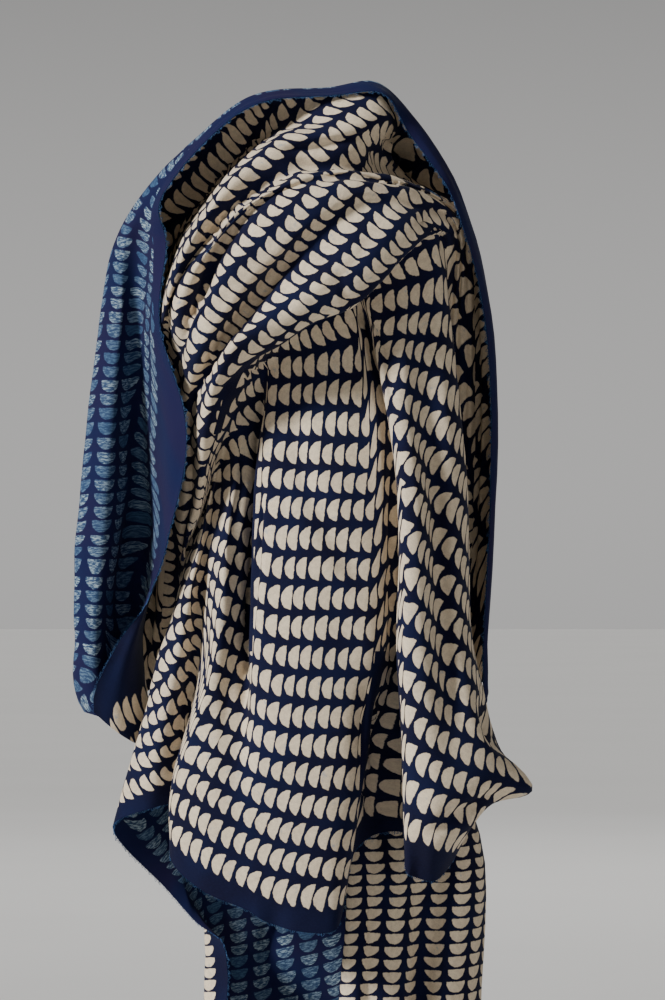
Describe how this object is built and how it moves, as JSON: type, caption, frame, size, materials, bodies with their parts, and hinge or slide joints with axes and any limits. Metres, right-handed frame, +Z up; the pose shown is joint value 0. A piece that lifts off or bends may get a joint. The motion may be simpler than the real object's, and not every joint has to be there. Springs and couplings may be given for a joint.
{
  "type": "draped block print cotton cloth",
  "caption": "Length of block-printed cotton bunched into folds and hanging from a hidden hold under its top.",
  "frame": {"origin": "the hold point under the top of the cloth, where a support that does not show carries it", "axes": "+Z up, +X to the viewer's right, +Y away from the front"},
  "size_m": [0.36, 0.2134, 0.7832],
  "materials": {
    "cotton": "matte indigo plain-weave cotton, resist printed with cream half-moons on its face"
  },
  "bodies": {
    "root": {"cloth": "cotton"}
  },
  "joints": []
}
